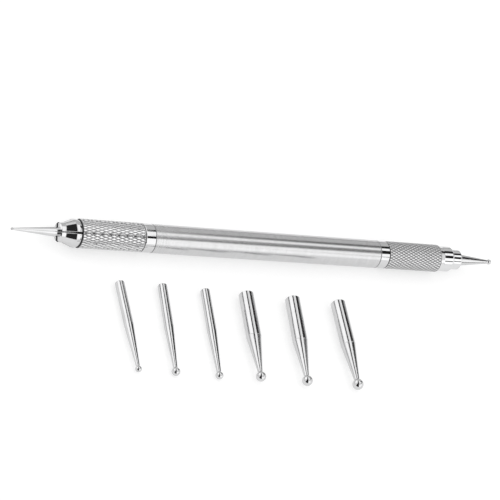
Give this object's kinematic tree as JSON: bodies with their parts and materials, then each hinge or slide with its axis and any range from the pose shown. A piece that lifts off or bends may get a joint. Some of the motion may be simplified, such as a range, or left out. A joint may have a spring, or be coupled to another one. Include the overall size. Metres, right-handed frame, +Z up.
{
  "type": "embossing stylus",
  "caption": "Double-ended embossing stylus with a turning chuck and a ball tip at each end, and a row of loose interchangeable ball tips.",
  "frame": {"origin": "on the table, under the middle of the whole set's box", "axes": "+X along the handle from the slim front tip towards the stout rear tip, +Y across the table from the spare tips towards the handle, +Z up"},
  "size_m": [0.1634, 0.0516, 0.0085],
  "materials": {
    "satin_barrel": "satin turned aluminium",
    "polished_metal": "polished",
    "knurled_metal": "diamond knurled, bright",
    "collet_steel": "turned",
    "tip_steel": "polished"
  },
  "bodies": {
    "handle": {"barrel_tube": "satin_barrel", "front_end_plug": "polished_metal", "rear_end_plug": "polished_metal"},
    "front_sleeve": {"front_knurled_sleeve": "knurled_metal"},
    "front_collet": {"front_collet": "polished_metal"},
    "front_tip": {"front_tip": "tip_steel"},
    "rear_collet": {"rear_collet": "collet_steel"},
    "rear_cap": {"rear_knurled_cap": "knurled_metal"},
    "rear_tip": {"rear_tip": "tip_steel"},
    "spare_tip_1": {"spare_tip_1": "tip_steel"},
    "spare_tip_2": {"spare_tip_2": "tip_steel"},
    "spare_tip_3": {"spare_tip_3": "tip_steel"},
    "spare_tip_4": {"spare_tip_4": "tip_steel"},
    "spare_tip_5": {"spare_tip_5": "tip_steel"},
    "spare_tip_6": {"spare_tip_6": "tip_steel"}
  },
  "joints": [
    {"name": "front_sleeve_turn", "type": "hinge", "parent": "handle", "child": "front_sleeve", "pos_m": [0.00027, 0.02153, 0.00425], "axis": [-1, 0, 0], "range_deg": [0, 2160]},
    {"name": "front_collet_travel", "type": "slide", "parent": "front_sleeve", "child": "front_collet", "axis": [-1, 0, 0], "range_m": [0, 0.0042]},
    {"name": "front_tip_pull", "type": "slide", "parent": "front_collet", "child": "front_tip", "axis": [-1, 0, 0], "range_m": [0, 0.015]},
    {"name": "rear_cap_turn", "type": "hinge", "parent": "handle", "child": "rear_collet", "pos_m": [0.00027, 0.02153, 0.00425], "axis": [1, 0, 0], "range_deg": [0, 2160]},
    {"name": "rear_cap_travel", "type": "slide", "parent": "rear_collet", "child": "rear_cap", "axis": [1, 0, 0], "range_m": [0, 0.0042]},
    {"name": "rear_tip_pull", "type": "slide", "parent": "rear_collet", "child": "rear_tip", "axis": [1, 0, 0], "range_m": [0, 0.0196]},
    {"name": "spare_tip_1_lift", "type": "slide", "parent": "handle", "child": "spare_tip_1", "axis": [0, 0, 1], "range_m": [0, 0.03]},
    {"name": "spare_tip_2_lift", "type": "slide", "parent": "handle", "child": "spare_tip_2", "axis": [0, 0, 1], "range_m": [0, 0.03]},
    {"name": "spare_tip_3_lift", "type": "slide", "parent": "handle", "child": "spare_tip_3", "axis": [0, 0, 1], "range_m": [0, 0.03]},
    {"name": "spare_tip_4_lift", "type": "slide", "parent": "handle", "child": "spare_tip_4", "axis": [0, 0, 1], "range_m": [0, 0.03]},
    {"name": "spare_tip_5_lift", "type": "slide", "parent": "handle", "child": "spare_tip_5", "axis": [0, 0, 1], "range_m": [0, 0.03]},
    {"name": "spare_tip_6_lift", "type": "slide", "parent": "handle", "child": "spare_tip_6", "axis": [0, 0, 1], "range_m": [0, 0.03]}
  ],
  "couplings": [
    {"joint": "front_collet_travel", "follows": "front_sleeve_turn", "m_per_rad": 0.00011141},
    {"joint": "rear_cap_travel", "follows": "rear_cap_turn", "m_per_rad": 0.00011141}
  ]
}
